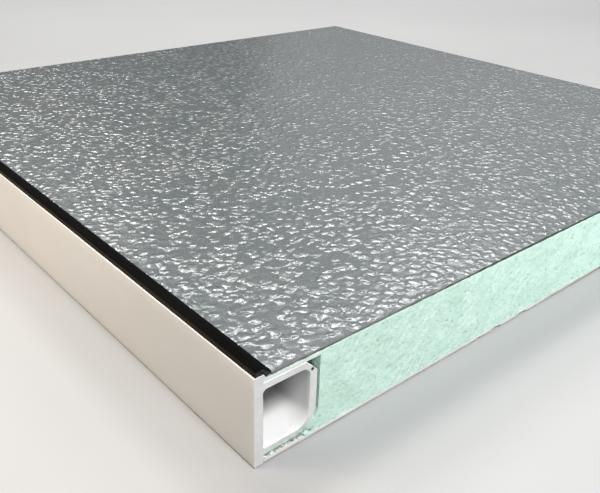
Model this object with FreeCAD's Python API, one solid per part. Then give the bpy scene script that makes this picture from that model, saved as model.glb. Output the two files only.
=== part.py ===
"""Insulated sandwich panel with a closed edge.

A rigid extruded-foam core, about 450 mm square, is bonded between two thin facing sheets. One of
its long edges is closed by an extruded edge profile: a full-height flange with a rounded box section
behind it, seated in a slot milled into the foam. A black wedge seal lies on top of the flange and
fills the joint between the flange and the upper sheet. The other three edges are plain saw cuts.

Axes: +X runs from the closed edge across the panel, +Y along the edge profile, +Z up through the
thickness. The origin is at the middle of the underside. Every length is in millimetres. The sections
below are drawn with x measured inwards from the flange's outer face and z up from the underside.
"""

import math
import os

import FreeCAD
import Part

# Driving dimensions of the panel.
PANEL_WIDTH = 453.0  # along X, from the flange's outer face to the far cut edge
PANEL_LENGTH = 445.0  # along Y, the length of the edge profile
PANEL_HEIGHT = 40.0  # underside to the face of the upper sheet
SHEET = 1.5  # thickness of each facing sheet

# Edge profile: flange and box section.
FLANGE = 4.2  # thickness of the full-height outer wall
CHAMBER_LEAN = 0.3  # the flange is this much thinner at the top of the chamber than at its floor
FLANGE_ARRIS = 0.4  # radius along the flange's outer corners
BOX_DEPTH = 29.0  # outer face of the flange to the back of the box
BOX_WALL = 3.0  # top and bottom walls of the box
BOX_BACK_WALL = 3.5  # back wall of the box
FOAM_OVER_BOX = 2.1  # foam left between the upper sheet and the box
FOAM_UNDER_BOX = 2.5  # foam left between the lower sheet and the box
BACK_CHAMFER = (5.6, 5.8)  # run and drop of the chamfer on the box's upper back corner
BACK_ROUND = 11.0  # outer radius of the box's lower back corner
CHAMBER_RADII = {"lower_front": 1.0, "lower_back": 7.0, "upper_back": 4.2, "upper_front": 1.8}
BARB = 1.0  # how far the seal's retaining barb stands behind the flange
BARB_TIP = 1.7  # depth of the barb's tip below the flange's top
BARB_ROOT = 2.7  # depth at which the barb's underside meets the flange again

# Keyhole groove in the chamfer.
GROOVE_RADIUS = 0.6
GROOVE_DEPTH = 0.85  # centre of the round bottom below the chamfer's face
GROOVE_MOUTH = 0.7  # width of the slit that opens it
GROOVE_FROM_BACK = 1.9  # distance forward of the box's back at which the groove opens

# Slot in the foam.
SLOT_CLEARANCE = 1.4  # gap between the back of the box and the foam
SLOT_CORNER = 0.8
SLOT_POCKET = (0.9, 3.0)  # tip of the pocket: forward of the box's back, above its underside
POCKET_RISE = 4.6  # height of the pocket's rounded side, from its tip to the slot's straight wall

# Wedge seal and the joint it fills.
JOINT = 7.4  # flange's outer face to the upper sheet's edge
SEAL_CROWN = 3.0  # height above the flange at the ridge
SEAL_FRONT = 2.5  # height above the flange along its outer side
SEAL_RIDGE = 3.7  # distance of the ridge from the flange's outer face
SEAL_TOE = 0.3  # thickness of the toe
SEAL_FOOT = 0.8  # width of the foot's blunt tip
SEAL_FOOT_GAP = 0.15  # between the foot and the foam below it

BOX_TOP = PANEL_HEIGHT - SHEET - FOAM_OVER_BOX
BOX_BOTTOM = SHEET + FOAM_UNDER_BOX
CHAMBER_BACK = BOX_DEPTH - BOX_BACK_WALL
FOAM_TOP = PANEL_HEIGHT - SHEET


def rounded_section(corners):
    """Face in the XZ plane through corners (x, z, radius), each rounded by a tangent arc."""
    points = [FreeCAD.Vector(x, 0, z) for x, z, _ in corners]
    count = len(points)
    starts, ends, middles = [], [], []
    for i, (_, _, radius) in enumerate(corners):
        here = points[i]
        back = (points[i - 1] - here).normalize()
        ahead = (points[(i + 1) % count] - here).normalize()
        half_angle = back.getAngle(ahead) / 2
        trim = radius / math.tan(half_angle) if radius else 0.0
        starts.append(here + back * trim)
        ends.append(here + ahead * trim)
        bisector = (back + ahead).normalize()
        middles.append(here + bisector * (radius / math.sin(half_angle) - radius))
    edges = []
    for i in range(count):
        if corners[i][2]:
            edges.append(Part.Arc(starts[i], middles[i], ends[i]).toShape())
        following = starts[(i + 1) % count]
        if ends[i].distanceToPoint(following) > 1e-6:
            edges.append(Part.LineSegment(ends[i], following).toShape())
    return Part.Face(Part.Wire(edges))


def along_panel(section):
    """The section's solid, the whole length of the panel, placed in the panel's own frame."""
    solid = section.extrude(FreeCAD.Vector(0, PANEL_LENGTH, 0))
    solid.translate(FreeCAD.Vector(-PANEL_WIDTH / 2, -PANEL_LENGTH / 2, 0))
    return solid


def profile_outline():
    """Outer outline of the edge profile: the flange, its barb, and the box behind it."""
    chamfer_run, chamfer_drop = BACK_CHAMFER
    return rounded_section([
        (0, 0, FLANGE_ARRIS),
        (FLANGE, 0, 0.2),
        (FLANGE, BOX_BOTTOM, 0.5),
        (BOX_DEPTH, BOX_BOTTOM, BACK_ROUND),
        (BOX_DEPTH, BOX_TOP - chamfer_drop, 0.6),
        (BOX_DEPTH - chamfer_run, BOX_TOP, 0.8),
        (FLANGE, BOX_TOP, 0.3),
        (FLANGE, PANEL_HEIGHT - BARB_ROOT, 0),
        (FLANGE + BARB, PANEL_HEIGHT - BARB_TIP, 0.25),
        (FLANGE, PANEL_HEIGHT, 0.3),
        (0, PANEL_HEIGHT, FLANGE_ARRIS),
    ])


def chamber_outline():
    """The box section's hollow, with a different radius in each corner."""
    low, high = BOX_BOTTOM + BOX_WALL, BOX_TOP - BOX_WALL
    return rounded_section([
        (FLANGE, low, CHAMBER_RADII["lower_front"]),
        (CHAMBER_BACK, low, CHAMBER_RADII["lower_back"]),
        (CHAMBER_BACK, high, CHAMBER_RADII["upper_back"]),
        (FLANGE - CHAMBER_LEAN, high, CHAMBER_RADII["upper_front"]),
    ])


def groove_outline():
    """Keyhole groove that opens square to the chamfer: a slit with a round bottom."""
    run, drop = BACK_CHAMFER
    mouth = FreeCAD.Vector(
        BOX_DEPTH - GROOVE_FROM_BACK, 0, BOX_TOP - drop + GROOVE_FROM_BACK * drop / run
    )
    outward = FreeCAD.Vector(drop, 0, run).normalize()
    sideways = FreeCAD.Vector(run, 0, -drop).normalize() * (GROOVE_MOUTH / 2)
    centre = mouth - outward * GROOVE_DEPTH
    lip = mouth + outward
    slit = Part.Face(Part.makePolygon([
        centre - sideways, lip - sideways, lip + sideways, centre + sideways, centre - sideways,
    ]))
    round_bottom = Part.Face(Part.Wire(
        Part.makeCircle(GROOVE_RADIUS, centre, FreeCAD.Vector(0, 1, 0))
    ))
    return slit.fuse(round_bottom)


def edge_profile():
    """The extruded edge profile, one piece, with its open chamber and groove."""
    section = profile_outline().cut(chamber_outline()).cut(groove_outline())
    return along_panel(section.Faces[0])


def gap_outline():
    """Gap behind the box: square at the top, with the cutter's rounded pocket at its foot.

    The foam hugs the box everywhere else. The last corner lies inside the box, so that the steep
    side of the pocket runs out of the box's rounded lower corner.
    """
    slot_back = BOX_DEPTH + SLOT_CLEARANCE
    tip_x, tip_z = BOX_DEPTH - SLOT_POCKET[0], BOX_BOTTOM + SLOT_POCKET[1]
    return rounded_section([
        (tip_x - BACK_ROUND, BOX_TOP, 0),
        (slot_back, BOX_TOP, SLOT_CORNER),
        (slot_back, tip_z + POCKET_RISE, 2.5),
        (tip_x, tip_z, 0.8),
        (tip_x - 2.5, tip_z + 5.0, 0),
    ])


def foam_core():
    """Extruded-foam board between the sheets, milled along one edge to seat the profile."""
    board = Part.makeBox(
        PANEL_WIDTH, PANEL_LENGTH, PANEL_HEIGHT - 2 * SHEET,
        FreeCAD.Vector(-PANEL_WIDTH / 2, -PANEL_LENGTH / 2, SHEET),
    )
    return board.cut(along_panel(profile_outline())).cut(along_panel(gap_outline()))


def facing_sheet(underside, first_x):
    """One flat facing sheet, from first_x behind the flange's face to the far cut edge."""
    return Part.makeBox(
        PANEL_WIDTH - first_x, PANEL_LENGTH, SHEET,
        FreeCAD.Vector(-PANEL_WIDTH / 2 + first_x, -PANEL_LENGTH / 2, underside),
    )


def wedge_seal():
    """Black seal: it lies on the flange, slopes down to the sheet's edge, and fills the joint."""
    foot_bottom = FOAM_TOP + SEAL_FOOT_GAP
    foot_left = FLANGE + (PANEL_HEIGHT - foot_bottom) * BARB / BARB_TIP
    section = rounded_section([
        (FLANGE_ARRIS, PANEL_HEIGHT, 0),
        (FLANGE, PANEL_HEIGHT, 0),
        (foot_left, foot_bottom, 0),
        (foot_left + SEAL_FOOT, foot_bottom, 0.2),
        (JOINT, PANEL_HEIGHT - SHEET / 3, 0),
        (JOINT, PANEL_HEIGHT + SEAL_TOE, 0.1),
        (SEAL_RIDGE, PANEL_HEIGHT + SEAL_CROWN, 1.2),
        (FLANGE_ARRIS, PANEL_HEIGHT + SEAL_FRONT, 0.4),
    ])
    return along_panel(section)


def main():
    os.makedirs("parts", exist_ok=True)
    parts = {
        "edge_profile": edge_profile(),
        "edge_seal": wedge_seal(),
        "foam_core": foam_core(),
        "upper_sheet": facing_sheet(FOAM_TOP, JOINT),
        "lower_sheet": facing_sheet(0, FLANGE),
    }
    for name, shape in parts.items():
        solid = shape.Solids[0]
        print(name, "solids", len(shape.Solids), "valid", solid.isValid(), "cm3", round(solid.Volume / 1000, 2))
        solid.exportStep(f"parts/{name}.step")


main()
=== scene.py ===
# %% [markdown]
# # An insulated sandwich panel with a closed edge
#
# The panel is a rigid foam board between two embossed plastic sheets. A hollow extruded profile
# closes one long edge, and a black wedge seal lies on top of it. This notebook dresses the five
# solids of the part: each solid has a piece here that stands for it, with the cut marks, embossing,
# eased arrises and finishes that the real one has.
#
# Every place comes from the part's own boxes, so the dressed pieces stay on the solids. Meshes and
# materials are in metres, and sizes of the section in millimetres. +X runs from the closed edge
# across the panel, +Y along the profile, +Z up.

# %% Tools and the part
import math

import bmesh
import bpy
import numpy as np
from mathutils import Matrix, Vector
from mathutils.geometry import tessellate_polygon


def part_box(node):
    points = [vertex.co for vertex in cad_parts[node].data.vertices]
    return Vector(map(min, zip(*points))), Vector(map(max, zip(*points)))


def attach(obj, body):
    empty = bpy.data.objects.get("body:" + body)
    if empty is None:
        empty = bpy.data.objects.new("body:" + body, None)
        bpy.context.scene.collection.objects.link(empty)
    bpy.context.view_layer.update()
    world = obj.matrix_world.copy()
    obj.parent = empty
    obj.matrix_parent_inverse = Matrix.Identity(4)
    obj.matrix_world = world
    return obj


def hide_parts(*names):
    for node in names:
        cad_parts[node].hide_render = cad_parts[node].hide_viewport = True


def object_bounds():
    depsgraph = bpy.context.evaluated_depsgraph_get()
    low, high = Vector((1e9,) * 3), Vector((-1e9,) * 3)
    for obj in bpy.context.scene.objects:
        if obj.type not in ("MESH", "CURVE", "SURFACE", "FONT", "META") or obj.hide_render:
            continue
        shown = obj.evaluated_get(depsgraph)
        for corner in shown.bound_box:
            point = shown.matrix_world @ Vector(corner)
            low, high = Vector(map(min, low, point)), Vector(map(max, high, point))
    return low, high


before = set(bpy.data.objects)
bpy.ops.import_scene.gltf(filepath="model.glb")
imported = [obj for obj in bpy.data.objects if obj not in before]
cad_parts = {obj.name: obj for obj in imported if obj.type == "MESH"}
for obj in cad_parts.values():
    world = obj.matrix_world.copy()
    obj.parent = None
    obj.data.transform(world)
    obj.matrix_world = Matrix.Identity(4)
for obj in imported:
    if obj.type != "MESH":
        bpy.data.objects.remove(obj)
cad_low, cad_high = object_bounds()
MM = 0.001
print("part box, mm:", [round(v / MM, 1) for v in (*cad_low, *cad_high)])

# %% [markdown]
# ## The section's sizes
#
# The solids say where each piece is. The profile's section is drawn again here, in millimetres,
# because its rounds need to be finer than the solids' facets. A section point is the distance from
# the flange's outer face, then the height. `in_metres` puts such points in place on the part.

# %% Sizes shared by several pieces
profile_low, profile_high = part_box("edge_profile")
foam_low, foam_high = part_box("foam_core")
upper_low, upper_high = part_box("upper_sheet")
lower_low, lower_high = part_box("lower_sheet")

FACE_X, FRONT_Y = profile_low.x, profile_low.y
LENGTH = (profile_high.y - FRONT_Y) / MM
WIDTH = (foam_high.x - FACE_X) / MM
FLANGE = (lower_low.x - FACE_X) / MM
JOINT = (upper_low.x - FACE_X) / MM
BOX_DEPTH = (profile_high.x - FACE_X) / MM
PANEL_TOP = profile_high.z / MM
SHEET_TOP, SHEET_UNDER = foam_low.z / MM, foam_high.z / MM

FOAM_UNDER_BOX, FOAM_OVER_BOX = 2.5, 2.1
BOX_BOTTOM = SHEET_TOP + FOAM_UNDER_BOX
BOX_TOP = SHEET_UNDER - FOAM_OVER_BOX
BOX_WALL, BACK_WALL = 3.0, 3.5
BACK_ROUND, BACK_CHAMFER = 11.0, (5.6, 5.8)
SLOT_CLEARANCE = 1.4
SLOT_BACK = BOX_DEPTH + SLOT_CLEARANCE
BARB, BARB_TIP, BARB_ROOT = 1.0, 1.7, 2.7


def in_metres(x, y, z):
    """Points in metres: x from the flange's face, y from the near end, z from the underside."""
    return np.stack([FACE_X / MM + x, FRONT_Y / MM + y, z], -1) * MM


print("flange", round(FLANGE, 2), "joint", round(JOINT, 2), "box depth", round(BOX_DEPTH, 2), "mm")

# %% [markdown]
# ## Outlines, relief and meshes
#
# Three helpers carry most of the work. `rounded` draws an outline from corners with radii. `waves`
# is a smooth random relief, a sum of plane cosine waves, which numpy works out for a whole grid at
# once. `make_piece` turns arrays of points and faces into a mesh, makes it stand for its solid, and
# prints its volume and how many edges are open. Curve objects and modifiers could make the same
# shapes, but with arrays every point follows from a formula.


# %% Outlines
def rounded(corners, steps=6):
    """Path through corners (x, z, radius), as an array of points.

    At a corner P with unit directions a and b to its neighbours and half angle h between them, the
    arc's centre is P + (a + b)/|a + b| * radius/sin(h), and it starts at P + a * radius/tan(h).
    """
    places = np.array([corner[:2] for corner in corners], float)
    befores, afters = np.roll(places, 1, 0), np.roll(places, -1, 0)
    path = []
    for here, before, after, (_, _, radius) in zip(places, befores, afters, corners):
        if not radius:
            path.append(here[None])
            continue
        back = (before - here) / np.linalg.norm(before - here)
        ahead = (after - here) / np.linalg.norm(after - here)
        half_angle = math.acos(np.clip(back @ ahead, -1, 1)) / 2
        middle = (back + ahead) / np.linalg.norm(back + ahead)
        centre = here + middle * radius / math.sin(half_angle)
        start = here + back * radius / math.tan(half_angle) - centre
        finish = here + ahead * radius / math.tan(half_angle) - centre
        turn = math.atan2(start[0] * finish[1] - start[1] * finish[0], start @ finish)
        angles = math.atan2(start[1], start[0]) + turn * np.linspace(0, 1, steps + 1)
        path.append(centre + radius * np.stack([np.cos(angles), np.sin(angles)], 1))
    return np.concatenate(path)


def anticlockwise(outline):
    """The outline, turned round if its area, half the sum of x0*z1 - x1*z0, is negative."""
    following = np.roll(outline, -1, 0)
    area = (outline[:, 0] * following[:, 1] - following[:, 0] * outline[:, 1]).sum() / 2
    return outline if area > 0 else outline[::-1]


def divided(outline, longest):
    """The same closed outline with points added, so that no side is longer than longest."""
    following = np.roll(outline, -1, 0)
    lengths = np.linalg.norm(following - outline, axis=1)
    counts = np.maximum(1, np.ceil(lengths / longest).astype(int))
    shares = np.concatenate([np.arange(count) / count for count in counts])
    starts = np.repeat(outline, counts, 0)
    return starts + (np.repeat(following, counts, 0) - starts) * shares[:, None]


def outward(outline):
    """Unit normals of an anticlockwise outline: last point to next point, turned clockwise."""
    along = np.roll(outline, -1, 0) - np.roll(outline, 1, 0)
    normal = np.stack([along[:, 1], -along[:, 0]], 1)
    return normal / np.linalg.norm(normal, axis=1, keepdims=True)


# %% Relief
def waves(u, v, shortest, longest, seed, count=48):
    """Smooth random relief over the points (u, v), with a root mean square of 1.

    It is the sum of count plane waves cos(2 pi (u cos t + v sin t)/wavelength + phase), whose
    directions t, wavelengths between shortest and longest, and phases are drawn with the seed.
    """
    draw = np.random.default_rng(seed)
    heading = draw.uniform(0, 2 * np.pi, count)
    number = 2 * np.pi / np.exp(draw.uniform(np.log(shortest), np.log(longest), count))
    phase = draw.uniform(0, 2 * np.pi, count)
    total = np.zeros(np.broadcast(u, v).shape)
    for t, k, p in zip(heading, number, phase):
        total += np.cos(k * (u * np.cos(t) + v * np.sin(t)) + p)
    return total / math.sqrt(count / 2)


def soft_step(value, low, high):
    """0 below low, 1 above high, and 3 t^2 - 2 t^3 in between."""
    t = np.clip((value - low) / (high - low), 0, 1)
    return t * t * (3 - 2 * t)


# %% Meshes
def quads(index):
    """Quads of a grid of point numbers. They face the cross product of the column and row ways."""
    corners = index[:-1, :-1], index[:-1, 1:], index[1:, 1:], index[1:, :-1]
    return np.stack(corners, -1).reshape(-1, 4)


def make_piece(name, points, surfaces, stands_for, crease, marks=None):
    """Mesh from points in metres and a list of (faces, material) surfaces.

    faces is an array of equal faces, or a list that is one large face. Points that no face uses are
    dropped. An edge sharper than crease degrees stays sharp and the rest is shaded smooth. marks
    holds a number for each point under a name, which a material can read.
    """
    finishes = list(dict.fromkeys(finish for _, finish in surfaces))
    rows, numbers = [], []
    for faces, finish in surfaces:
        new_rows = [faces] if isinstance(faces, list) else faces.tolist()
        rows += new_rows
        numbers += [finishes.index(finish)] * len(new_rows)
    used = np.unique(np.concatenate([np.array(row) for row in rows]))
    renumber = np.zeros(len(points), int)
    renumber[used] = np.arange(len(used))
    mesh = bpy.data.meshes.new(name)
    mesh.from_pydata(points[used].tolist(), [], [renumber[np.array(row)].tolist() for row in rows])
    mesh.polygons.foreach_set("material_index", np.array(numbers, np.int32))
    for finish in finishes:
        mesh.materials.append(finish)
    for title, values in (marks or {}).items():
        kept_numbers = mesh.attributes.new(title, "FLOAT", "POINT").data
        kept_numbers.foreach_set("value", values[used].astype(np.float32))
    mesh.shade_smooth()
    mesh.set_sharp_from_angle(angle=math.radians(crease))
    piece = bpy.data.objects.new(name, mesh)
    bpy.context.scene.collection.objects.link(piece)
    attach(piece, "root")
    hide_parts(stands_for)
    mesh.calc_loop_triangles()
    test = bmesh.new()
    test.from_mesh(mesh)
    open_edges = sum(not edge.is_manifold for edge in test.edges)
    volume = test.calc_volume(signed=True)
    test.free()
    triangles = len(mesh.loop_triangles)
    print(f"{name}: {triangles} triangles, {volume * 1e6:.1f} cm3, {open_edges} open edges")


# %% [markdown]
# ## Shader helpers
#
# A material is a tree of nodes. `add` makes one node, sets its options and links or sets its inputs
# in one call, so that a tree reads from top to bottom. Effects that several finishes share are node
# groups, built once with named inputs and outputs: cloudy patches, a raised grain, and the arcs
# that a blade leaves in a cut face. A group gives only masks and heights; the shader stays outside
# it.


# %% Nodes
def add(tree, kind, inputs=None, **options):
    """New node of a tree, with its options set and its inputs linked or set to values."""
    node = tree.nodes.new(kind)
    for option, value in options.items():
        setattr(node, option, value)
    for key, value in (inputs or {}).items():
        if isinstance(value, bpy.types.NodeSocket):
            tree.links.new(value, node.inputs[key])
        else:
            node.inputs[key].default_value = value
    return node


def calculate(tree, operation, *values):
    """Output of a Math node working on sockets or numbers."""
    return add(tree, "ShaderNodeMath", dict(enumerate(values)), operation=operation).outputs[0]


def ramp(tree, value, low, high, to_low=0.0, to_high=1.0):
    """Output of a smooth Map Range: low..high becomes to_low..to_high, level outside it."""
    ends = {"Value": value, "From Min": low, "From Max": high, "To Min": to_low, "To Max": to_high}
    return add(tree, "ShaderNodeMapRange", ends, interpolation_type="SMOOTHSTEP").outputs[0]


def mixed(tree, share, first, second):
    """Colour between first and second, which are sockets or (red, green, blue)."""
    first, second = ((*c, 1) if isinstance(c, tuple) else c for c in (first, second))
    node = add(tree, "ShaderNodeMix", {0: share, 6: first, 7: second}, data_type="RGBA")
    return node.outputs[2]


def noise(tree, place, size, detail=2.0, roughness=0.5):
    """Output of a noise texture. Its features are size metres across, or size is a scale socket."""
    scale = size if isinstance(size, bpy.types.NodeSocket) else 1 / size
    inputs = {"Vector": place, "Scale": scale, "Detail": detail, "Roughness": roughness}
    return add(tree, "ShaderNodeTexNoise", inputs).outputs[0]


def vector(tree, operation, *values, **named):
    """Vector Math node working on sockets or vectors, with further inputs by name."""
    inputs = {**dict(enumerate(values)), **named}
    return add(tree, "ShaderNodeVectorMath", inputs, operation=operation)


def stretched(tree, place, factors, centre=(0, 0, 0)):
    """Coordinates moved so that centre is at 0 and then multiplied by factors."""
    moved = vector(tree, "SUBTRACT", place, centre).outputs[0]
    return vector(tree, "MULTIPLY", moved, factors).outputs[0]


# %% Shared effects
def new_effect(name, numbers, outputs):
    """Node group with a Vector input, number inputs (name: value) and number outputs."""
    tree = bpy.data.node_groups.new(name, "ShaderNodeTree")
    tree.interface.new_socket("Vector", in_out="INPUT", socket_type="NodeSocketVector")
    for title, value in numbers.items():
        socket = tree.interface.new_socket(title, in_out="INPUT", socket_type="NodeSocketFloat")
        socket.default_value = value
    for title in outputs:
        tree.interface.new_socket(title, in_out="OUTPUT", socket_type="NodeSocketFloat")
    given = tree.nodes.new("NodeGroupInput").outputs
    return tree, given, tree.nodes.new("NodeGroupOutput").inputs


def cloudy_patches():
    """Patches: noise of the given size, with its middle values spread over 0..1."""
    tree, given, out = new_effect("cloudy_patches", {"Size": 0.02}, ["Mask"])
    cloud = noise(tree, given["Vector"], calculate(tree, "DIVIDE", 1.0, given["Size"]), 4.0, 0.55)
    tree.links.new(ramp(tree, cloud, 0.34, 0.66), out["Mask"])
    return tree


def raised_grain():
    """Pebbles: a dome stands on each of many scattered points, 1 at its middle and 0 beyond Reach.

    Coordinates are first shifted by a noise, so that no pebble is round. Distances are in units of
    Size. Some patches of pebbles are lower than others, as a worn embossing film leaves them.
    """
    tree, given, out = new_effect("raised_grain", {"Size": 0.003, "Reach": 0.6}, ["Height"])
    per_metre = calculate(tree, "DIVIDE", 1.0, given["Size"])
    coarse = calculate(tree, "MULTIPLY", per_metre, 0.7)
    inputs = {"Vector": given["Vector"], "Scale": coarse, "Detail": 1.0}
    shift = add(tree, "ShaderNodeTexNoise", inputs).outputs["Color"]
    shift = vector(tree, "SUBTRACT", shift, (0.5, 0.5, 0.5)).outputs[0]
    shift_reach = calculate(tree, "MULTIPLY", given["Size"], 1.3)
    shift = vector(tree, "SCALE", shift, Scale=shift_reach).outputs[0]
    moved = vector(tree, "ADD", given["Vector"], shift).outputs[0]
    inputs = {"Vector": moved, "Scale": per_metre, "Smoothness": 0.35, "Randomness": 0.9}
    points = add(tree, "ShaderNodeTexVoronoi", inputs, feature="SMOOTH_F1").outputs["Distance"]
    dome = ramp(tree, points, 0.02, given["Reach"], 1.0, 0.0)
    body = noise(tree, given["Vector"], calculate(tree, "MULTIPLY", per_metre, 0.2), 2.0)
    height = calculate(tree, "MULTIPLY", dome, ramp(tree, body, 0.35, 0.6, 0.75, 1.0))
    tree.links.new(height, out["Height"])
    return tree


def blade_marks():
    """Arcs round the origin: 0.5 + 0.5 sin(2 pi r/Spacing), where r is the distance plus a wander.

    Mask says where the blade pressed hard enough to leave them.
    """
    numbers = {"Spacing": 0.002, "Wander": 0.002}
    tree, given, out = new_effect("blade_marks", numbers, ["Height", "Mask"])
    radius = vector(tree, "LENGTH", given["Vector"]).outputs["Value"]
    wander = calculate(tree, "MULTIPLY", noise(tree, given["Vector"], 0.03, 2.0), given["Wander"])
    turns = calculate(tree, "DIVIDE", calculate(tree, "ADD", radius, wander), given["Spacing"])
    wave = calculate(tree, "SINE", calculate(tree, "MULTIPLY", turns, 2 * math.pi))
    where = ramp(tree, noise(tree, given["Vector"], 0.018, 2.0), 0.42, 0.66)
    height = calculate(tree, "MULTIPLY_ADD", calculate(tree, "MULTIPLY", wave, where), 0.5, 0.5)
    tree.links.new(height, out["Height"])
    tree.links.new(where, out["Mask"])
    return tree


PATCHES, GRAIN, BLADE = cloudy_patches(), raised_grain(), blade_marks()


def effect(tree, group, place, **numbers):
    """Outputs of a shared effect placed in a material with its own numbers."""
    inputs = {"Vector": place, **{title.capitalize(): value for title, value in numbers.items()}}
    return add(tree, "ShaderNodeGroup", inputs, node_tree=group).outputs


def new_finish(name, specular=0.5, ior=1.5):
    """New material, its tree, its Principled BSDF and its Object coordinates."""
    material = bpy.data.materials.new(name)
    material.use_nodes = True
    tree = material.node_tree
    shader = tree.nodes["Principled BSDF"]
    shader.inputs["Specular IOR Level"].default_value = specular
    shader.inputs["IOR"].default_value = ior
    place = add(tree, "ShaderNodeTexCoord").outputs["Object"]
    return material, tree, shader, place


def linked(material, shader, colour, roughness, heights):
    """The material, with its shader's colour, roughness and normal linked.

    The normal comes from a chain of Bump nodes, one for each (height 0..1, depth in metres).
    """
    tree = material.node_tree
    tree.links.new(colour, shader.inputs["Base Color"])
    tree.links.new(roughness, shader.inputs["Roughness"])
    normal = None
    for height, depth in heights:
        inputs = {"Height": height, "Distance": depth, "Strength": 1.0}
        if normal is not None:
            inputs["Normal"] = normal
        normal = add(tree, "ShaderNodeBump", inputs).outputs[0]
    tree.links.new(normal, shader.inputs["Normal"])
    return material


def mark(tree, name):
    """A number kept for each point of the piece."""
    return add(tree, "ShaderNodeAttribute", attribute_name=name).outputs["Fac"]


print("shared effects:", PATCHES.name, GRAIN.name, BLADE.name)

# %% [markdown]
# ## The facings' finish
#
# Each facing is a glass-reinforced plastic sheet, pressed against an embossed film while it cures,
# so a pebble grain stands on it. Under a lamp each pebble's flank gives a small bright glint and
# the hollows stay grey. The mesh carries the grain's slow swells. The pebbles themselves and the
# finer grain on them are too small for it, so they are bump from the shared grain at two sizes. The
# same pebbles tint the colour: a painted highlight makes the crests paler, and painted shade makes
# the hollows darker.


# %% Embossed face
def embossed_face():
    """Grey embossed plastic: its pebbles drive the bump, a painted highlight on crests, painted
    shade in hollows.
    """
    dark, pale = (0.108, 0.126, 0.129), (0.126, 0.136, 0.138)
    crest_highlight_tone, hollow_shade_tone = (0.24, 0.257, 0.257), (0.070, 0.086, 0.089)
    material, tree, shader, place = new_finish("embossed_face", 0.9)
    flat = stretched(tree, place, (1, 1, 0.2))
    large = effect(tree, GRAIN, flat, size=0.0041, reach=0.64)["Height"]
    small = effect(tree, GRAIN, flat, size=0.0018, reach=0.6)["Height"]
    fine = noise(tree, flat, 0.0007, 3.0)
    colour = mixed(tree, effect(tree, PATCHES, flat, size=0.035)["Mask"], dark, pale)
    # Painted highlight: the pebbles' crests are paler.
    colour = mixed(tree, calculate(tree, "MULTIPLY", large, 0.42), colour, crest_highlight_tone)
    # Painted shade: the hollows between the pebbles are darker.
    colour = mixed(tree, ramp(tree, large, 0.0, 0.3, 0.45, 0.0), colour, hollow_shade_tone)
    roughness = ramp(tree, fine, 0.3, 0.7, 0.20, 0.28)
    heights = [(large, 0.56 * MM), (small, 0.03 * MM), (fine, 0.01 * MM)]
    return linked(material, shader, colour, roughness, heights)


# %% Cut edges of the sheets
RAGGED = (260, 260, 60)  # stretches a noise upwards, for glue lines drawn by the saw


def cut_sheet_edge(name, near_tone, far_tone, change_x, glue=None):
    """A sawn laminate edge: its layers run along it, and its tone changes along X at change_x.

    glue is (tone, near height, far height) of a darker band that fills the edge up to a ragged
    line, as adhesive drawn up by the saw does.
    """
    material, tree, shader, place = new_finish(name, 0.25)
    layers = noise(tree, stretched(tree, place, (30, 30, 900)), 1.0, 3.0)
    across, _, height = add(tree, "ShaderNodeSeparateXYZ", {0: place}).outputs
    patch = effect(tree, PATCHES, place, size=0.02)["Mask"]
    reach = calculate(tree, "MULTIPLY_ADD", patch, 0.05, across)
    share = ramp(tree, reach, change_x - 0.02, change_x + 0.07)
    colour = mixed(tree, share, near_tone, far_tone)
    pale = tuple(1.35 * part for part in near_tone)
    colour = mixed(tree, ramp(tree, layers, 0.45, 0.75, 0.0, 0.22), colour, pale)
    if glue:
        glue_tone, near_height, far_height = glue
        line = ramp(tree, share, 0.0, 1.0, near_height, far_height)
        ragged = noise(tree, stretched(tree, place, RAGGED), 1.0, 3.0, 0.6)
        line = calculate(tree, "MULTIPLY_ADD", ragged, 1.6 * MM, line)
        over = calculate(tree, "SUBTRACT", height, line)
        glued = ramp(tree, over, -0.15 * MM, 0.15 * MM, 1.0, 0.0)
        colour = mixed(tree, glued, colour, glue_tone)
    roughness = ramp(tree, layers, 0.3, 0.7, 0.45, 0.65)
    return linked(material, shader, colour, roughness, [(layers, 0.04 * MM)])


GLUE = ((0.055, 0.075, 0.068), (SHEET_UNDER - 0.45) * MM, (SHEET_UNDER + 0.5) * MM)
GREY_NEAR, GREY_FAR = (0.215, 0.205, 0.205), (0.16, 0.165, 0.165)
WHITISH, BROWN = (0.68, 0.65, 0.62), (0.36, 0.27, 0.215)
EMBOSSED = embossed_face()
UPPER_EDGE = cut_sheet_edge("upper_sheet_cut", GREY_NEAR, GREY_FAR, -0.11, GLUE)
LOWER_EDGE = cut_sheet_edge("lower_sheet_cut", WHITISH, BROWN, -0.03)
print("facing finishes made")

# %% [markdown]
# ## The facings
#
# A sheet's face is a grid whose height is its outer plane less a relief. The relief is smooth waves
# pushed towards a plateau and a floor, which gives swells with flanks rather than ripples. Three
# more rings of points make the cut edge. The ring next to the face lies a little outside its rim,
# which eases the arris. The saw's wander and a few chips set the rings back. The side on the foam
# is never seen and is one flat face. The lower sheet is the same function turned over. A displace
# modifier could raise the relief too, but heights worked out in the grid keep the rim in place.

# %% Relief and edge of a sheet
RELIEF, EASE = 0.22 * MM, 0.12 * MM
CHIP_FADE = 8 * MM
UNDER_RING, MIDDLE_RING, FACE_RING = (1.0, 0.6, 0.0), (0.6, 1.0, 0.15), (0.13, 1.0, 1.0)


def embossing(x, y, seed):
    """Depth under the outer plane at the points (x, y): RELIEF * (1 - tanh(waves))/2."""
    swells = waves(x, y, 4.2 * MM, 7 * MM, seed, 90)
    swells += 0.25 * waves(x, y, 15 * MM, 60 * MM, seed + 1)
    return RELIEF * (1 - np.tanh(1.2 * (swells - 0.5))) / 2


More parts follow.
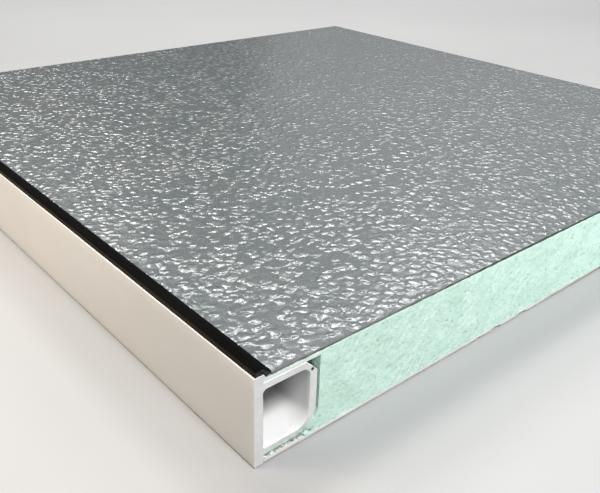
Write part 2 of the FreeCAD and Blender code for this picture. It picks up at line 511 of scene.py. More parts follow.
def chipped(x, y, front, chips):
    """How far points are set back by the front edge's chips, each (place, length, depth) in mm.

    A chip is half an ellipse, depth * sqrt(1 - ((x - place)/(length/2))^2), at the edge and fades
    with the square of the distance behind it.
    """
    back = np.zeros_like(x)
    for place, length, deep in chips:
        reach = 1 - ((x - FACE_X) / MM - place) ** 2 / (length / 2) ** 2
        back += deep * MM * np.sqrt(np.clip(reach, 0, 1))
    return back * np.clip(1 - (y - front) / CHIP_FADE, 0, 1) ** 2


def rim_side(places, low, high):
    """-1 or 1 for rim points on the low or high side of the grid, and 0 for the others."""
    from_middle = places - (low + high) / 2
    on_side = np.isclose(np.abs(from_middle), (high - low) / 2 - EASE)
    return np.where(on_side, np.sign(from_middle), 0)


def edge_rings(x, y, depth, low, high, seed, chips):
    """Rings of points round the rim (x, y), from the foam to the face, with depths for heights."""
    side_x, side_y = rim_side(x, low.x, high.x), rim_side(y, low.y, high.y)
    along = np.where(side_y != 0, x, y)
    wander = 0.05 * MM * (1 - waves(along, side_x + 2 * side_y, 3 * MM, 40 * MM, seed + 2))
    broken = chipped(x, y, low.y, chips) * (side_y < 0)
    rings = []
    for share, ease_share, chip_share in (UNDER_RING, MIDDLE_RING, FACE_RING):
        back = np.clip(wander * share + broken * chip_share, 0, None) - EASE * ease_share
        under = (high.z - low.z) * share
        if share < 0.5:
            under = under + depth * (1 - share)
        rings.append(np.stack([x - side_x * back, y - side_y * back, under + 0 * x], 1))
    return rings


# %% Sheets
def sheet_piece(name, low, high, cells, seed, edge_finish, turned_over=False, chips=()):
    """Embossed sheet between the corners low and high. It stands for the solid called name."""
    ways = [np.linspace(low[k] + EASE, high[k] - EASE, cells + 1) for k in (0, 1)]
    x, y = np.meshgrid(*ways)
    depth = embossing(x, y, seed)
    index = np.arange(x.size).reshape(x.shape)
    rim = np.concatenate([index[0, :-1], index[:-1, -1], index[-1, :0:-1], index[:0:-1, 0]])
    rings = edge_rings(*(values.ravel()[rim] for values in (x, y, depth)), low, high, seed, chips)
    y = y + chipped(x, y, low.y, chips)
    points = np.concatenate([np.stack([x.ravel(), y.ravel(), depth.ravel()], 1), *rings])
    points[:, 2] = low.z + points[:, 2] if turned_over else high.z - points[:, 2]
    wall = np.concatenate([np.arange(x.size, len(points)).reshape(len(rings), -1), rim[None]])
    sides = quads(np.concatenate([wall, wall[:, :1]], 1))
    faces, under_face = quads(index), wall[0][::-1]
    if turned_over:
        faces, sides, under_face = faces[:, ::-1], sides[:, ::-1], under_face[::-1]
    surfaces = [(faces, EMBOSSED), (sides, edge_finish), (under_face.tolist(), edge_finish)]
    make_piece(f"{name}_embossed", points, surfaces, name, 50.0)


LOWER_CHIPS = [(145, 7, 1.1), (166, 8, 1.0), (131, 3, 0.5), (240, 4, 0.4), (331, 5, 0.5)]
sheet_piece("upper_sheet", upper_low, upper_high, 304, 11, UPPER_EDGE)
sheet_piece("lower_sheet", lower_low, lower_high, 230, 23, LOWER_EDGE, True, LOWER_CHIPS)

# %% [markdown]
# ## The foam's finish
#
# The core is extruded polystyrene, a mint green foam with cells far smaller than a millimetre. Its
# cut faces are matt and almost even in colour, with paler smears, faint arcs from the blade, and
# small pits. Painted shade darkens the pits and the torn strip. The mesh keeps three numbers at
# each point: how hollow it is, where the foam is torn, and where old glue whitens it. A painted
# picture could carry the same marks, but numbers on the points come from the relief itself and so
# always fit it.


# %% Foam finish
def cut_foam():
    """Mint foam: streaks, mottle and blade arcs on a cloudy tone, then painted shade in pits and
    tears, glue.
    """
    mint_dark, mint_pale = (0.545, 0.755, 0.645), (0.615, 0.815, 0.715)
    streak_tone, arc_tone, speck_tone = (0.70, 0.88, 0.80), (0.76, 0.91, 0.85), (0.27, 0.42, 0.35)
    mottle_pale, mottle_dark = (0.74, 0.90, 0.83), (0.47, 0.67, 0.575)
    hollow_shade_tone, tear_shade_tone, tear_pale = (0.33, 0.52, 0.43), (0.23, 0.29, 0.26), (0.60, 0.75, 0.68)
    dry_glue_tone, joint_tone = (0.70, 0.76, 0.73), (0.14, 0.19, 0.17)
    material, tree, shader, place = new_finish("cut_foam", 0.25)
    tone = effect(tree, PATCHES, place, size=0.016)["Mask"]
    colour = mixed(tree, tone, mint_dark, mint_pale)
    streaks = noise(tree, stretched(tree, place, (150, 150, 700)), 1.0, 3.0, 0.6)
    colour = mixed(tree, ramp(tree, streaks, 0.5, 0.75, 0.0, 0.4), colour, streak_tone)
    mottle = noise(tree, place, 2.4 * MM, 4.0, 0.7)
    colour = mixed(tree, ramp(tree, mottle, 0.50, 0.72, 0.0, 0.6), colour, mottle_pale)
    colour = mixed(tree, ramp(tree, mottle, 0.30, 0.50, 0.55, 0.0), colour, mottle_dark)
    from_hub = stretched(tree, place, (1, 1, 1), (0.32, 0.0, -0.21))
    blade = effect(tree, BLADE, from_hub, spacing=2.6 * MM, wander=4 * MM)
    crests = ramp(tree, blade["Height"], 0.75, 1.0, 0.0, 0.45)
    colour = mixed(tree, calculate(tree, "MULTIPLY", blade["Mask"], crests), colour, arc_tone)
    specks = noise(tree, stretched(tree, place, (300, 300, 520)), 1.0, 2.0)
    colour = mixed(tree, ramp(tree, specks, 0.66, 0.72, 0.0, 0.6), colour, speck_tone)
    # Painted shade: the pits are darker the deeper they are.
    colour = mixed(tree, mark(tree, "hollow"), colour, hollow_shade_tone)
    # Painted shade: in the torn strip the dark tone stands for shade between the pale crumbs.
    crumbs = noise(tree, place, 1.6 * MM, 3.0, 0.6)
    torn = mixed(tree, ramp(tree, crumbs, 0.44, 0.62), tear_shade_tone, tear_pale)
    colour = mixed(tree, mark(tree, "torn"), colour, torn)
    colour = mixed(tree, mark(tree, "glue"), colour, dry_glue_tone)
    height = add(tree, "ShaderNodeSeparateXYZ", {0: place}).outputs[2]
    ragged = noise(tree, stretched(tree, place, RAGGED), 1.0, 3.0, 0.6)
    joint = calculate(tree, "MULTIPLY_ADD", ragged, 1.4 * MM, height)
    joint = ramp(tree, joint, (SHEET_UNDER + 0.2) * MM, (SHEET_UNDER + 0.6) * MM, 0.0, 0.8)
    colour = mixed(tree, joint, colour, joint_tone)
    inputs = {"Vector": place, "Scale": 2600.0}
    cells = add(tree, "ShaderNodeTexVoronoi", inputs).outputs["Distance"]
    smooth = noise(tree, place, 5 * MM, 4.0, 0.6)
    heights = [(smooth, 0.6 * MM), (mottle, 0.3 * MM)]
    heights += [(blade["Height"], 0.09 * MM), (cells, 0.06 * MM)]
    return linked(material, shader, colour, ramp(tree, tone, 0.0, 1.0, 0.72, 0.86), heights)


FOAM = cut_foam()
print("foam finish made")

# %% [markdown]
# ## The foam core
#
# The foam's two ends and its far side are one grid that wraps round three sides of the board. Its
# rows follow the section: a lower band under the box, a middle band behind it, and an upper band
# over it. The columns that cross the open slot leave the middle band out. Every point is set back
# from the cut plane by the relief of a hand-cut face: slow waves, arcs of the blade, pits, a torn
# strip under the box and a shallow score along the upper sheet. A block cut by a boolean would have
# the same slot, but one grid has even faces to carry the relief, and shares its corners.


# %% Section of the slot
LOW_ROWS, MIDDLE_ROWS, HIGH_ROWS = 12, 28, 3
ROWS = LOW_ROWS + MIDDLE_ROWS + HIGH_ROWS


def slot_floor():
    """Path (x, z) of the foam under and behind the box: the box's own underside and round corner,
    then the undercut pocket beside it, and the start of the slot's back wall."""
    centre = np.array([BOX_DEPTH - BACK_ROUND, BOX_BOTTOM + BACK_ROUND])
    angle = np.radians(np.linspace(-90, -33.7, 14))
    corner = centre + BACK_ROUND * np.stack([np.cos(angle), np.sin(angle)], 1)
    pocket = [(27.15, 8.9, 0), (28.1, 7.0, 0.8), (SLOT_BACK, 11.6, 2.5), (SLOT_BACK, 20, 0)]
    return np.concatenate([[(FLANGE, BOX_BOTTOM)], corner, rounded(pocket)[:-1]])


def band_heights(x):
    """Heights of the grid's rows at each distance x: three bands, each divided evenly."""
    floor_x, floor_z = slot_floor().T
    floor = np.interp(x, floor_x, floor_z)
    roof = np.full(len(x), BOX_TOP)
    top = np.minimum(SHEET_UNDER, PANEL_TOP - BARB_ROOT + (x - FLANGE))
    bottom = np.full(len(x), SHEET_TOP)
    bands = [(bottom, floor, LOW_ROWS, 0), (floor, roof, MIDDLE_ROWS, 1), (roof, top, HIGH_ROWS, 1)]
    rows = []
    for low, high, count, skip in bands:
        rows.append(low + (high - low) * np.arange(skip, count + 1)[:, None] / count)
    return np.concatenate(rows)


# %% Relief of a cut face
PITS, CROWDED = 90, 14
ARC_PITCH = 4.3


def pits(along, up, seed, end_face):
    """Depth of the deepest pit at each point, where a pit is deep * exp(-(distance/size)^2).

    The pits lie anywhere on the face, but on an end face some crowd near the profile.
    """
    draw = np.random.default_rng(seed)
    pit_x = draw.uniform(along.min() + 30, along.max() - 2, PITS)
    pit_z = draw.uniform(3, 37, PITS)
    if end_face:
        pit_x[:CROWDED] = draw.normal(78, 9, CROWDED)
        pit_z[:CROWDED] = draw.normal(12, 4.5, CROWDED)
    sizes = draw.uniform(0.45, 0.9, PITS)
    depths = draw.uniform(0.15, 0.6, PITS)
    hollow = np.zeros(along.shape)
    for x, z, size, deep in zip(pit_x, pit_z, sizes, depths):
        distance = ((along - x) / (1.2 * size)) ** 2 + ((up - z) / size) ** 2
        hollow = np.maximum(hollow, deep * np.exp(-distance))
    return hollow


def cut_relief(along, up, seed, centre, end_face):
    """Depth under the cut plane in millimetres, and the marks of a cut foam face.

    Depth is slow waves, plus arcs sin(2 pi r/ARC_PITCH) round a centre where the blade pressed,
    plus pits, plus a score along the upper sheet, plus a torn strip under the box on an end face.
    """
    depth = 0.16 + 0.05 * waves(along, up, 6, 30, seed) + 0.02 * waves(along, up, 2, 5, seed + 1)
    radius = np.hypot(along - centre[0], up - centre[1]) + 0.5 * waves(along, up, 12, 50, seed + 2)
    pressed = soft_step(waves(along, up, 25, 90, seed + 3), 0.0, 1.2)
    arcs = 0.07 * pressed * np.sin(2 * np.pi * radius / ARC_PITCH)
    hollow = pits(along, up, seed, end_face)
    uneven = 0.25 + 0.1 * waves(along, 0 * up, 4, 20, seed + 4)
    score = np.exp(-(((up - SHEET_UNDER) / 0.5) ** 2)) * uneven
    torn, glue = np.zeros(along.shape), np.zeros(along.shape)
    if end_face:
        edge = 26.0 + 1.5 * waves(along, up, 2, 8, seed + 5)
        torn = soft_step(edge - along, 0, 2.5) * soft_step(BOX_BOTTOM + 1.2 - up, 0, 0.8)
        glue = soft_step(SLOT_BACK + 1 - along, 0, 2) * soft_step(up - BOX_TOP + 0.6, 0, 0.5)
    ragged = np.clip(0.8 + 0.4 * waves(along, up, 1.1, 3.5, seed + 6), 0.1, 1.6)
    depth = np.clip(depth + arcs + hollow + np.clip(score, 0, None) + torn * ragged, 0.04, 3)
    return depth, {"hollow": np.clip(hollow, 0, 0.5), "torn": torn, "glue": glue * 0.8}


# %% Core
OVER_BOX_CELLS, END_CELLS, SIDE_CELLS = 52, 498, 520
CORNER_EASE = 0.15


def wrapped(front, side, back):
    """One grid round the board: near end, far side and far end, which share their corners."""
    return np.concatenate([front, side[:, 1:-1], back[:, ::-1]], 1)


def foam_piece():
    """The foam core: one wrapped grid of cut faces, strips along the slot, and flat glued faces."""
    over_box = np.linspace(FLANGE, SLOT_BACK, OVER_BOX_CELLS + 1)
    across = np.concatenate([over_box, np.linspace(SLOT_BACK, WIDTH, END_CELLS + 1)[1:]])
    slot, last = OVER_BOX_CELLS, len(across) - 1
    along = np.linspace(0, LENGTH, SIDE_CELLS + 1)
    up = band_heights(across)
    up_side = np.repeat(up[:, -1:], len(along), 1)
    across, along = np.broadcast_to(across, up.shape), np.broadcast_to(along, up_side.shape)
    front, front_marks = cut_relief(across, up, 31, (300, -170), True)
    side, side_marks = cut_relief(along, up_side, 41, (180, -220), False)
    back, back_marks = cut_relief(across, up, 51, (120, -190), True)
    plan_x = wrapped(across, WIDTH - side, across)
    plan_x[:, [last, last + SIDE_CELLS]] -= CORNER_EASE
    heights = wrapped(up, up_side, up)
    points = in_metres(plan_x, wrapped(front, along, LENGTH - back), heights).reshape(-1, 3)
    kinds = zip(front_marks, front_marks.values(), side_marks.values(), back_marks.values())
    marks = {kind: wrapped(*faces).ravel() for kind, *faces in kinds}
    index = np.arange(len(points)).reshape(heights.shape)
    mirror = index[:, ::-1]
    roof = LOW_ROWS + MIDDLE_ROWS
    kept = np.ones((ROWS, heights.shape[1] - 1), bool)
    kept[LOW_ROWS:roof, :slot] = False
    kept[LOW_ROWS:roof, -slot:] = False
    first_flat = int(np.argmax(up[-1] >= SHEET_UNDER))
    shells = [
        quads(index)[kept.ravel()],
        quads(np.stack([index[LOW_ROWS, : slot + 1], mirror[LOW_ROWS, : slot + 1]])),
        quads(np.stack([mirror[roof, : slot + 1], index[roof, : slot + 1]])),
        quads(np.stack([index[LOW_ROWS : roof + 1, slot], mirror[LOW_ROWS : roof + 1, slot]])),
        quads(np.stack([index[: LOW_ROWS + 1, 0], mirror[: LOW_ROWS + 1, 0]])),
        quads(np.stack([index[roof:, 0], mirror[roof:, 0]])),
        quads(np.stack([index[-1, : first_flat + 1], mirror[-1, : first_flat + 1]])),
        index[0, ::-1].tolist(),
        index[-1, first_flat : index.shape[1] - first_flat].tolist(),
    ]
    surfaces = [(faces, FOAM) for faces in shells]
    make_piece("foam_core_cut", points, surfaces, "foam_core", 50.0, marks)


foam_piece()

# %% [markdown]
# ## The profile's finishes
#
# The profile is white rigid vinyl, pushed hot through a die. Its skin is satin, with faint die
# lines along it and a slow ripple that bends reflections. Sawn across, the same vinyl is duller: it
# shows the arcs of the saw, and a little green dust from the foam sticks under the box. One
# material with a mask could do both, but the sawn ends have faces of their own, so two are simpler.


# %% Profile finishes
def profile_skin():
    """Satin white vinyl as it leaves the die, with painted shade deep in the chamber and in the
    groove.
    """
    white_dark, white_pale = (0.845, 0.845, 0.835), (0.880, 0.880, 0.872)
    dust_tone, chamber_shade_tone, groove_shade_tone = (0.66, 0.64, 0.60), (0.25, 0.25, 0.25), (0.05, 0.05, 0.045)
    material, tree, shader, place = new_finish("profile_skin", 0.5)
    colour = mixed(tree, effect(tree, PATCHES, place, size=0.05)["Mask"], white_dark, white_pale)
    dust = noise(tree, place, 1.6 * MM, 4.0, 0.65)
    colour = mixed(tree, ramp(tree, dust, 0.62, 0.80, 0.0, 0.3), colour, dust_tone)
    # Painted shade: greyer deeper inside the chamber.
    colour = mixed(tree, mark(tree, "inside"), colour, chamber_shade_tone)
    # Painted shade: dark inside the keyhole groove.
    colour = mixed(tree, mark(tree, "groove_shade"), colour, groove_shade_tone)
    die_lines = noise(tree, stretched(tree, place, (900, 4, 900)), 1.0, 3.0, 0.6)
    roughness = ramp(tree, die_lines, 0.3, 0.7, 0.30, 0.40)
    ripple = noise(tree, stretched(tree, place, (20, 9, 20)), 1.0, 2.0)
    heights = [(ripple, 0.4 * MM), (die_lines, 0.012 * MM)]
    return linked(material, shader, colour, roughness, heights)


def profile_cut():
    """The same vinyl sawn across: duller, with saw arcs and a smear of foam dust under the box."""
    white_dark, white_pale = (0.66, 0.655, 0.645), (0.74, 0.73, 0.72)
    grain_tone, foam_dust_tone = (0.48, 0.47, 0.45), (0.33, 0.50, 0.41)
    material, tree, shader, place = new_finish("profile_cut", 0.35)
    colour = mixed(tree, effect(tree, PATCHES, place, size=0.006)["Mask"], white_dark, white_pale)
    grain = noise(tree, place, 0.9 * MM, 4.0, 0.6)
    colour = mixed(tree, ramp(tree, grain, 0.58, 0.75, 0.0, 0.35), colour, grain_tone)
    clinging = ramp(tree, noise(tree, place, 2.2 * MM, 3.0), 0.38, 0.6)
    smear = calculate(tree, "MULTIPLY", mark(tree, "smear"), clinging)
    colour = mixed(tree, smear, colour, foam_dust_tone)
    roughness = ramp(tree, grain, 0.3, 0.7, 0.45, 0.62)
    from_hub = stretched(tree, place, (1, 1, 1), (-0.30, 0.0, 0.22))
    arcs = effect(tree, BLADE, from_hub, spacing=0.8 * MM, wander=1 * MM)["Height"]
    heights = [(arcs, 0.04 * MM), (grain, 0.05 * MM)]
    return linked(material, shader, colour, roughness, heights)


SKIN, CUT = profile_skin(), profile_cut()
print("profile finishes made")

# %% [markdown]
# ## The profile
#
# The section is one outline with a chamber in it, carried along Y. The outline has a barb under the
# flange's top for the seal, a wide round and a chamfer at the back of the box, and a keyhole groove
# in the chamfer for a joining clip. At each end the outline shrinks over a fraction of a
# millimetre, so that the sawn arrises catch the light. Triangles between outline and chamber fill
# the ends. A bevelled curve could carry the section too, but it couldn't shrink only at the ends.


# %% Profile section
def groove_path():
    """Keyhole groove in the chamfer: in at the lower lip, round a circle, out at the upper lip."""
    radius, deep, mouth_width, from_back = 0.6, 0.85, 0.7, 1.9
    chamfer = np.array([-BACK_CHAMFER[0], BACK_CHAMFER[1]])
    way = chamfer / np.linalg.norm(chamfer)
    facing = np.array([way[1], -way[0]])
    mouth = np.array([BOX_DEPTH, BOX_TOP - BACK_CHAMFER[1]]) + way * from_back / abs(way[0])
    half = math.asin(mouth_width / 2 / radius)
    lean = math.atan2(facing[1], facing[0])
    angles = np.linspace(lean - half, lean + half - 2 * math.pi, 18)
    circle = mouth - facing * deep + radius * np.stack([np.cos(angles), np.sin(angles)], 1)
    lower_lip, upper_lip = mouth - way * mouth_width / 2, mouth + way * mouth_width / 2
    return [(x, z, 0) for x, z in np.concatenate([[lower_lip], circle, [upper_lip]])]


def profile_outline():
    """The section's outside, from the flange's foot round the box and the barb to its top."""
    chamfer_run, chamfer_drop = BACK_CHAMFER
    corners = [(0, 0, 0.4), (FLANGE, 0, 0.2), (FLANGE, BOX_BOTTOM, 0.5)]
    corners += [(BOX_DEPTH, BOX_BOTTOM, BACK_ROUND), (BOX_DEPTH, BOX_TOP - chamfer_drop, 0.6)]
    corners += [*groove_path(), (BOX_DEPTH - chamfer_run, BOX_TOP, 0.8), (FLANGE, BOX_TOP, 0.3)]
    corners += [(FLANGE, PANEL_TOP - BARB_ROOT, 0), (FLANGE + BARB, PANEL_TOP - BARB_TIP, 0.25)]
    corners += [(FLANGE, PANEL_TOP, 0.3), (0, PANEL_TOP, 0.4)]
    return divided(anticlockwise(rounded(corners)), 5.0)


def chamber_outline():
    """The hollow inside. Its front wall leans a little, so the flange is thinner at the top."""
    lean = 0.3
    low, high, back = BOX_BOTTOM + BOX_WALL, BOX_TOP - BOX_WALL, BOX_DEPTH - BACK_WALL
    corners = [(FLANGE, low, 1.0), (back, low, 7.0), (back, high, 4.2), (FLANGE - lean, high, 1.8)]
    return divided(anticlockwise(rounded(corners, 10)), 4.0)


# %% Profile mesh
def carried(outline, inward, ripple, seed):
    """Outline carried along Y: point = outline - outward normal * (inward(y) + ripple * waves).

    Returns the points in metres and their numbers as a grid, a row for each point of the outline.
    """
    close = np.array([0, 0.06, 0.2, 2, 4, 6, 9, 12, 16, 20])
    even = np.linspace(24, LENGTH - 24, 100)
    stations = np.concatenate([close, even, LENGTH - close[::-1]])
    round_way = np.cumsum(np.linalg.norm(outline - np.roll(outline, 1, 0), axis=1))
    slow = np.clip(waves(round_way[:, None], stations[None], 40, 160, seed), -1, 1)
    back = inward(stations)[None] + ripple * (1 - slow)
    normal = outward(outline)
    x = outline[:, :1] - normal[:, :1] * back
    z = outline[:, 1:] - normal[:, 1:] * back
    index = np.arange(x.size).reshape(x.shape)
    points = in_metres(x, np.broadcast_to(stations, x.shape), z).reshape(-1, 3)
    return points, np.concatenate([index, index[:1]])


def arris(size):
    """Set-back that falls from size to 0 over the last 0.2 mm at each end."""
    return lambda y: size * (1 - np.sqrt(np.clip(np.minimum(y, LENGTH - y) / 0.2, 0, 1)))


def profile_marks(points, in_chamber):
    """Where foam dust smears the cut, and where painted shade darkens the groove and the chamber
    away from its ends.
    """
    x, z = (points[:, 0] - FACE_X) / MM, points[:, 2] / MM
    from_end = np.minimum(points[:, 1] - FRONT_Y, FRONT_Y + LENGTH * MM - points[:, 1]) / MM
    groove = np.array(groove_path())[1:-1, :2].mean(0)
    above_floor = soft_step(z - BOX_BOTTOM - BOX_WALL, 0.5, 7)
    return {
        "smear": soft_step(8.5 - z, 0, 3.5) * soft_step(x - FLANGE - 1, 0, 2),
        "groove_shade": soft_step(0.95 - np.hypot(x - groove[0], z - groove[1]), 0, 0.2),
        "inside": soft_step(from_end, 2, 22) * above_floor * in_chamber,
    }


def profile_piece():
    """The extruded profile: outside and chamber carried along Y, and two ends between them."""
    outer, chamber = profile_outline(), chamber_outline()
    outer_points, outer_index = carried(outer, arris(0.14), 0.012, 61)
    chamber_points, chamber_index = carried(chamber, lambda y: -arris(0.14)(y), 0.0, 62)
    points = np.concatenate([outer_points, chamber_points])
    chamber_index = chamber_index + len(outer_points)
    rings = [[Vector((x, z, 0)) for x, z in ring] for ring in (outer, chamber)]
    triangles = np.array(tessellate_polygon(rings))
    flat = np.concatenate([outer, chamber])[triangles]
    a, b = flat[:, 1] - flat[:, 0], flat[:, 2] - flat[:, 0]
    clockwise = a[:, 0] * b[:, 1] - a[:, 1] * b[:, 0] < 0
    triangles[clockwise] = triangles[clockwise, ::-1]
    ends = np.concatenate([outer_index[:-1], chamber_index[:-1]])
    surfaces = [(quads(outer_index), SKIN), (quads(chamber_index)[:, ::-1], SKIN)]
    surfaces += [(ends[triangles, 0], CUT), (ends[triangles[:, ::-1], -1], CUT)]
    marks = profile_marks(points, np.arange(len(points)) >= len(outer_points))
    make_piece("edge_profile_extruded", points, surfaces, "edge_profile", 30.0, marks)


profile_piece()

# %% [markdown]
# ## The wedge seal
#
# The seal is a black soft rubber strip. Its foot hooks over the flange's barb, its ridge stands a
# few millimetres proud, and its top slopes down to the sheet. Rubber is cut with a knife, so its
# ends are a little crooked: each is made of rings that shrink to its middle, pushed in by a rough
# relief. One flat face would be simpler, but it would look sawn.


# %% Seal finishes
def rubber(name, tone, rough, cut, specular, ior=1.5):
    """Black rubber with a cloudy bloom and dust. Its lines are shorter and deeper if cut."""
    dust_tone = (0.16, 0.15, 0.13)
    along_y, line_depth = (60, 0.14) if cut else (6, 0.05)
    material, tree, shader, place = new_finish(name, specular, ior)
    bloom = calculate(tree, "MULTIPLY", effect(tree, PATCHES, place, size=0.012)["Mask"], 0.6)
    colour = mixed(tree, bloom, tone, tuple(1.7 * part for part in tone))
    dust = noise(tree, place, 0.8 * MM, 4.0, 0.65)
    colour = mixed(tree, ramp(tree, dust, 0.66, 0.8, 0.0, 0.25), colour, dust_tone)
    lines = noise(tree, stretched(tree, place, (700, along_y, 700)), 1.0, 3.0, 0.6)
    roughness = ramp(tree, lines, 0.3, 0.7, rough, rough + 0.14)
    heights = [(lines, line_depth * MM), (noise(tree, place, 0.5 * MM, 3.0), 0.02 * MM)]
    return linked(material, shader, colour, roughness, heights)


RUBBER = rubber("seal_rubber", (0.0024, 0.0023, 0.0022), 0.65, False, 0.3, 1.1)
# The outer side's browner tone is a painted reflection of warm light on the same black rubber.
RUBBER_PAINTED_SHEEN = rubber("seal_rubber_painted_sheen", (0.020, 0.0165, 0.0105), 0.45, False, 0.10)
RUBBER_CUT = rubber("seal_rubber_cut", (0.020, 0.019, 0.018), 0.60, True, 0.2)
print("seal finishes made")


# %% Seal mesh
SEAL_START, SEAL_FRONT, SEAL_RIDGE, SEAL_CROWN = 0.4, 2.5, 3.7, 3.0
TOE, TOE_UNDER = 0.3, 0.5
FOOT, FOOT_GAP = 0.8, 0.15


def seal_outline():
    """The wedge: from its side over the flange, down to the foot, up the joint, over the ridge."""
    top, base = PANEL_TOP, SHEET_UNDER + FOOT_GAP
    foot = FLANGE + BARB * (top - base) / BARB_TIP
    corners = [(SEAL_START, top, 0.12), (FLANGE, top, 0), (foot, base, 0), (foot + FOOT, base, 0.2)]
    corners += [(JOINT, top - TOE_UNDER, 0), (JOINT, top + TOE, 0.1)]
    corners += [(SEAL_RIDGE, top + SEAL_CROWN, 1.2), (SEAL_START, top + SEAL_FRONT, 0.4)]
    return divided(anticlockwise(rounded(corners)), 1.2)


def cut_end(outline, at_far_end):
    """Rings of points that shrink to the outline's middle, pushed in by a rough relief."""
    middle = outline.mean(0)
    seed = 80 if at_far_end else 81
    rings = []
    for share in (0.8, 0.6, 0.4, 0.2):
        flat = middle + (outline - middle) * share
        crooked = 0.05 * (flat[:, 1] - PANEL_TOP)
        rough = 0.28 + 0.22 * waves(flat[:, 0], flat[:, 1], 1.2, 4, seed) + crooked
        pushed = np.clip(rough, 0.03, 1)
        rings.append(in_metres(flat[:, 0], LENGTH - pushed if at_far_end else pushed, flat[:, 1]))
    return rings


def seal_piece():
    """Wedge seal: its outline carried along Y, and two rough ends."""
    outline = seal_outline()
    points, index = carried(outline, arris(0.16), 0.03, 71)
    walls = quads(index).reshape(len(outline), -1, 4)
    side = (outline[:, 0] < SEAL_START + 0.05) & (np.roll(outline, -1, 0)[:, 0] < SEAL_START + 0.05)
    surfaces = [(walls[~side].reshape(-1, 4), RUBBER), (walls[side].reshape(-1, 4), RUBBER_PAINTED_SHEEN)]
    for at_far_end in (False, True):
        rings = cut_end(outline, at_far_end)
        rim = index[:-1, -1 if at_far_end else 0]
        new = len(points) + np.arange(len(rings) * len(rim)).reshape(len(rings), -1)
        grid = np.concatenate([rim[None], new])
        points = np.concatenate([points, *rings])
        faces, last = quads(np.concatenate([grid, grid[:, :1]], 1)), grid[-1]
        if at_far_end:
            faces, last = faces[:, ::-1], last[::-1]
        surfaces += [(faces, RUBBER_CUT), (last.tolist(), RUBBER_CUT)]
    make_piece("edge_seal_wedge", points, surfaces, "edge_seal", 40.0)


seal_piece()

# %% [markdown]
# ## Floor, lamps and camera
#
# A large pale floor carries the panel and fades into a pale backdrop. The camera sees the floor
# paler than the light that bounces from it, so that the chamber and the flange stay as dark as they
# are over a dark table. Seven soft lamps light the panel. Three high ones behind give the glints on
# the embossing, each in its own part of the sheet, and a wide dim one behind lifts the far part.
# One high in front lights the cut end and reaches into the chamber. A cool one low at the right
# brightens the foam, and a weak warm one at the left fills the flange. A dim white world does the
# rest. A picture of a studio could light it all, but each lamp here can be moved on its own.


# %% Floor
BACKDROP = (0.70, 0.70, 0.70)
FLOOR_BOUNCE = (0.17, 0.17, 0.17)
FLOOR_SIZE, FLOOR_UNDER = 12.0, 0.4 * MM


def floor_finish():
    """Plain matt floor. For the camera it fades into the backdrop from 0.7 m to 2.6 m away."""
    material, tree, shader, place = new_finish("plain_floor", 0.2)
    tone = effect(tree, PATCHES, place, size=0.4)["Mask"]
    seen = mixed(tree, tone, (0.41, 0.41, 0.41), (0.43, 0.43, 0.43))
    camera_ray = add(tree, "ShaderNodeLightPath").outputs["Is Camera Ray"]
    tree.links.new(mixed(tree, camera_ray, FLOOR_BOUNCE, seen), shader.inputs["Base Color"])
    distance = vector(tree, "LENGTH", place).outputs["Value"]
    away = calculate(tree, "MULTIPLY", ramp(tree, distance, 0.7, 2.6), camera_ray)
    tree.links.new(mixed(tree, away, (0.0, 0.0, 0.0), BACKDROP), shader.inputs["Emission Color"])
    shader.inputs["Emission Strength"].default_value = 1.0
    shader.inputs["Roughness"].default_value = 0.8
    return material


floor_mesh = bpy.data.meshes.new("floor")
ways = ((-1, -1), (1, -1), (1, 1), (-1, 1))
corners = [(x * FLOOR_SIZE / 2, y * FLOOR_SIZE / 2, -FLOOR_UNDER) for x, y in ways]
floor_mesh.from_pydata(corners, [], [(0, 1, 2, 3)])
floor_mesh.materials.append(floor_finish())
floor = bpy.data.objects.new("floor", floor_mesh)
bpy.context.scene.collection.objects.link(floor)


# %% Lamps
def softbox(name, place, target, size, watts, colour=(1.0, 1.0, 1.0)):
    """Flat lamp at place, turned to face target. size is its width across and its height."""
    lamp = bpy.data.lights.new(name, "AREA")
    lamp.shape = "RECTANGLE"
    lamp.size, lamp.size_y = size
    lamp.energy = watts
    lamp.color = colour
    lit = bpy.data.objects.new(name, lamp)
    lit.location = place
    lit.rotation_euler = (Vector(target) - Vector(place)).to_track_quat("-Z", "Y").to_euler()
    bpy.context.scene.collection.objects.link(lit)


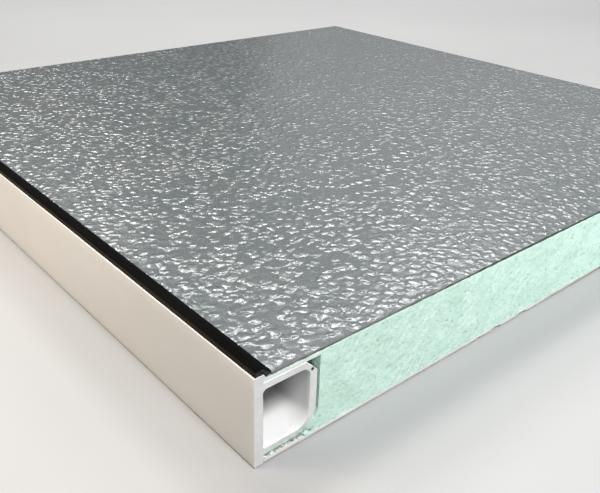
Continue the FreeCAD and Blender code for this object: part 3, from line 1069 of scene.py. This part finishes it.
SHEET_MIDDLE, NEAR_CORNER = (0.0, 0.0, 0.04), (-0.1, -0.2, 0.02)
CUT_END, FLANGE_SIDE = (0.1, -0.2, 0.02), (-0.22, 0.1, 0.02)
COOL, WARM = (0.92, 0.97, 1.0), (1.0, 0.86, 0.70)
softbox("lamp_behind", (0.72, 0.75, 1.60), SHEET_MIDDLE, (0.60, 0.34), 14.5)
softbox("lamp_behind_right", (1.00, 0.40, 1.10), SHEET_MIDDLE, (0.50, 0.36), 5.4)
softbox("lamp_behind_left", (0.08, 1.08, 1.10), SHEET_MIDDLE, (0.50, 0.36), 9.5)
softbox("lamp_far", (1.56, 0.90, 0.66), SHEET_MIDDLE, (1.60, 0.80), 1.9)
softbox("lamp_front", (-0.30, -0.95, 1.20), NEAR_CORNER, (0.36, 0.36), 20.5)
softbox("lamp_right", (0.20, -0.62, 0.17), CUT_END, (0.40, 0.24), 1.5, COOL)
softbox("lamp_left", (-0.55, 0.05, 0.30), FLANGE_SIDE, (0.30, 0.30), 1.9, WARM)

# %% World
WORLD_LIGHT = (0.09, 0.09, 0.09)
world = bpy.data.worlds.new("studio")
world.use_nodes = True
around = world.node_tree
camera_ray = add(around, "ShaderNodeLightPath").outputs["Is Camera Ray"]
background = around.nodes["Background"].inputs
around.links.new(mixed(around, camera_ray, WORLD_LIGHT, BACKDROP), background["Color"])
background["Strength"].default_value = 1.0
bpy.context.scene.world = world
bpy.context.scene.view_settings.view_transform = "Standard"
print("floor,", len(bpy.data.lights), "lamps and world made")

# %% Camera
HEADING, PITCH, ROLL = math.radians(41.39), math.radians(27.48), math.radians(1.83)
FROM_CORNER, CAMERA_HEIGHT = (-0.1165, -0.1532), 0.1904
camera_data = bpy.data.cameras.new("camera")
camera_data.sensor_width = 36.0
camera_data.lens = 43.11
camera_data.clip_start = 0.01
camera = bpy.data.objects.new("camera", camera_data)
bpy.context.scene.collection.objects.link(camera)
stand = Vector((cad_low.x + FROM_CORNER[0], cad_low.y + FROM_CORNER[1], CAMERA_HEIGHT))
turn = Matrix.Rotation(-HEADING, 4, "Z") @ Matrix.Rotation(math.pi / 2 - PITCH, 4, "X")
camera.matrix_world = Matrix.Translation(stand) @ turn @ Matrix.Rotation(ROLL, 4, "Z")
bpy.context.scene.camera = camera
print("camera at", [round(v, 3) for v in stand])
